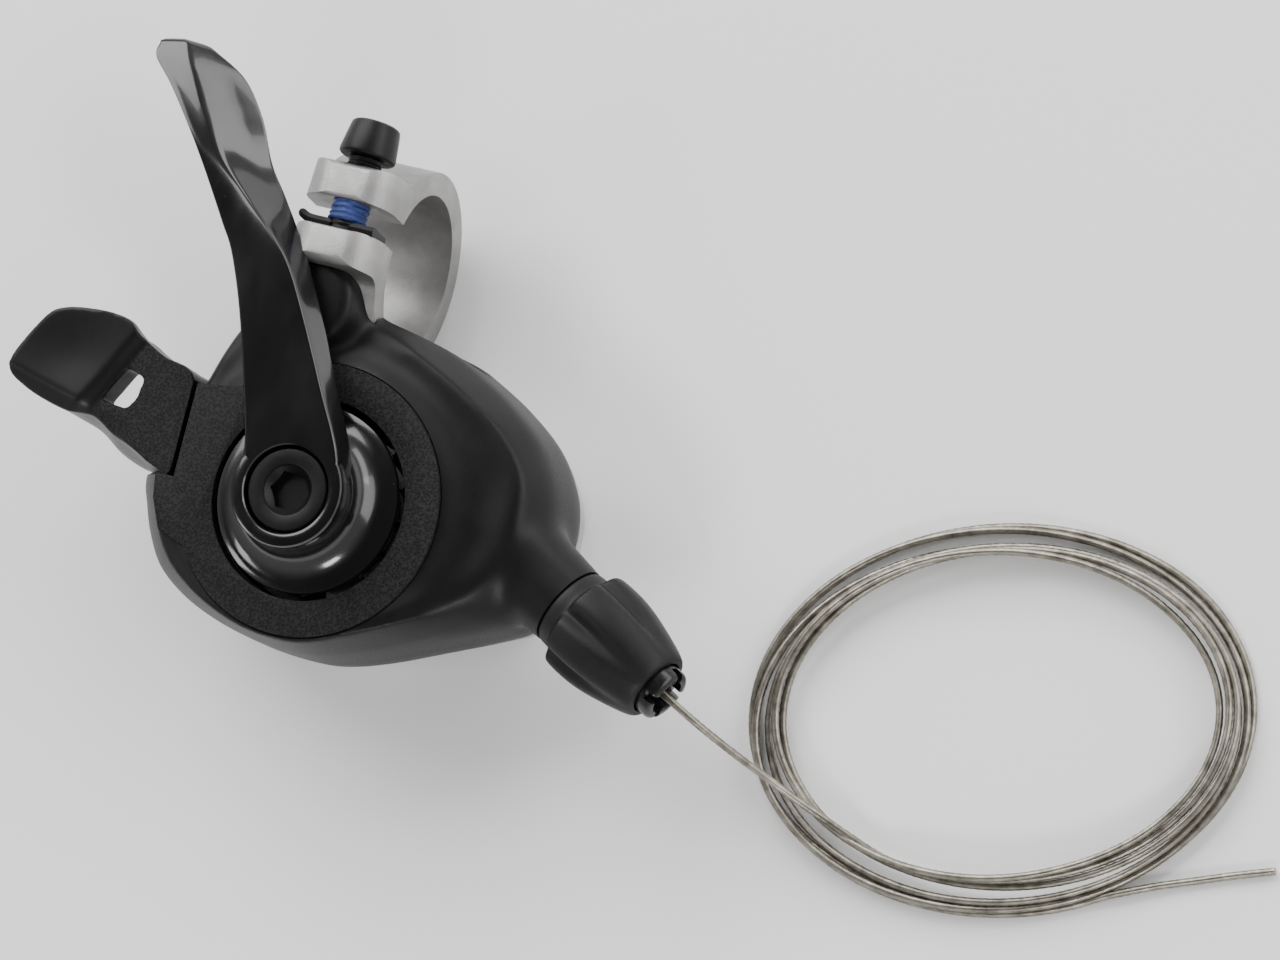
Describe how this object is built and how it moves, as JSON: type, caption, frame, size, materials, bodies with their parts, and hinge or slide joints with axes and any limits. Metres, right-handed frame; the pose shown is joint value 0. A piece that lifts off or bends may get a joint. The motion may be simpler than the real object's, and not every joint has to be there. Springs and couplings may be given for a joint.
{
  "type": "bicycle trigger shifter",
  "caption": "Thumb-operated trigger shifter with a pull lever, a release lever, a slotted bar clamp, a barrel adjuster and a coiled inner cable.",
  "frame": {"origin": "centre of the bar clamp's bore, in the middle of the clamp's width", "axes": "+X along the bar towards the cable's exit, +Z along the levers' pivot away from the top cover, +Y from the pivot towards the bar"},
  "size_m": [0.1874, 0.0905, 0.0375],
  "materials": {
    "silver_cover": "satin silver paint",
    "housing_plastic": "satin moulded, fine spark texture",
    "plate_plastic": "coarse spark texture",
    "steel_plate": "stamped and zinc plated",
    "steel_turned": "turned",
    "black_steel": "black oxide",
    "clamp_alloy": "bead blasted and clear anodised",
    "threadlock": "dry thread adhesive",
    "spring_steel": "drawn wire",
    "lever_alloy": "gloss black on forged alloy",
    "bronze": "sintered",
    "spool_plastic": "smooth acetal",
    "release_plastic": "satin pad, textured base",
    "knob_plastic": "matt grip",
    "ferrule_plastic": "glossy",
    "cable_steel": "stranded stainless wire"
  },
  "bodies": {
    "housing": {"top_cover": "silver_cover", "housing_shell": "housing_plastic", "face_plate": "plate_plastic", "base_plate": "steel_plate", "upper_plate": "steel_plate", "main_axle": "steel_turned", "spacer_posts": "steel_turned", "mechanism_screws": "black_steel", "release_post": "steel_turned", "bar_clamp": "clamp_alloy", "clamp_bolt": "black_steel", "clamp_nut_plate": "black_steel", "threadlock_patch": "threadlock", "clamp_mount_screw": "steel_turned", "lever_screw": "black_steel", "lever_washer": "steel_turned", "lever_return_spring": "spring_steel", "spool_return_spring": "spring_steel", "release_return_spring": "spring_steel", "adjuster_insert": "bronze", "adjuster_detent_spring": "spring_steel", "cable_inner": "cable_steel", "cable_run": "cable_steel", "cable_coil": "cable_steel", "cable_tail": "cable_steel"},
    "pull_lever": {"pull_lever": "lever_alloy", "lever_bush": "bronze", "pawl_carrier": "steel_plate", "drive_pawl": "steel_plate", "drive_pawl_pin": "steel_turned", "drive_pawl_spring": "spring_steel"},
    "spool": {"cable_spool": "spool_plastic", "spool_bush": "bronze", "ratchet_wheel": "steel_plate", "cable_nipple": "steel_turned", "cable_wrap": "cable_steel"},
    "release_lever": {"release_lever": "release_plastic", "release_arm": "steel_plate"},
    "holding_pawl": {"holding_pawl": "steel_plate"},
    "adjuster_knob": {"adjuster_knob": "knob_plastic"},
    "adjuster_ferrule": {"adjuster_ferrule": "ferrule_plastic"}
  },
  "joints": [
    {"name": "pull_lever_turn", "type": "hinge", "parent": "housing", "child": "pull_lever", "pos_m": [0.0043, -0.0345, 0.0095], "axis": [0, 0, 1], "range_deg": [0, 45], "stiffness_Nm_per_rad": 0.3, "springref_deg": -17.19},
    {"name": "spool_turn", "type": "hinge", "parent": "housing", "child": "spool", "pos_m": [0.0043, -0.0345, 0.004], "axis": [0, 0, 1], "range_deg": [0, 45]},
    {"name": "release_lever_turn", "type": "hinge", "parent": "housing", "child": "release_lever", "pos_m": [-0.0052, -0.021, 0.0055], "axis": [0, 0, -1], "range_deg": [0, 12], "stiffness_Nm_per_rad": 0.3, "springref_deg": -11.46},
    {"name": "holding_pawl_turn", "type": "hinge", "parent": "housing", "child": "holding_pawl", "pos_m": [-0.0052, -0.021, 0.0055], "axis": [0, 0, -1], "range_deg": [0, 6]},
    {"name": "adjuster_knob_turn", "type": "hinge", "parent": "housing", "child": "adjuster_knob", "pos_m": [0.04902, -0.04412, 0.004], "axis": [0.8829, -0.4695, 0], "range_deg": [0, 720]},
    {"name": "adjuster_ferrule_slide", "type": "slide", "parent": "housing", "child": "adjuster_ferrule", "axis": [0.8829, -0.4695, 0], "range_m": [0, 0.0016]}
  ],
  "couplings": [
    {"joint": "spool_turn", "follows": "pull_lever_turn", "ratio": 1},
    {"joint": "holding_pawl_turn", "follows": "release_lever_turn", "ratio": 0.5},
    {"joint": "adjuster_knob_turn", "follows": "adjuster_ferrule_slide", "rad_per_m": 7854}
  ]
}
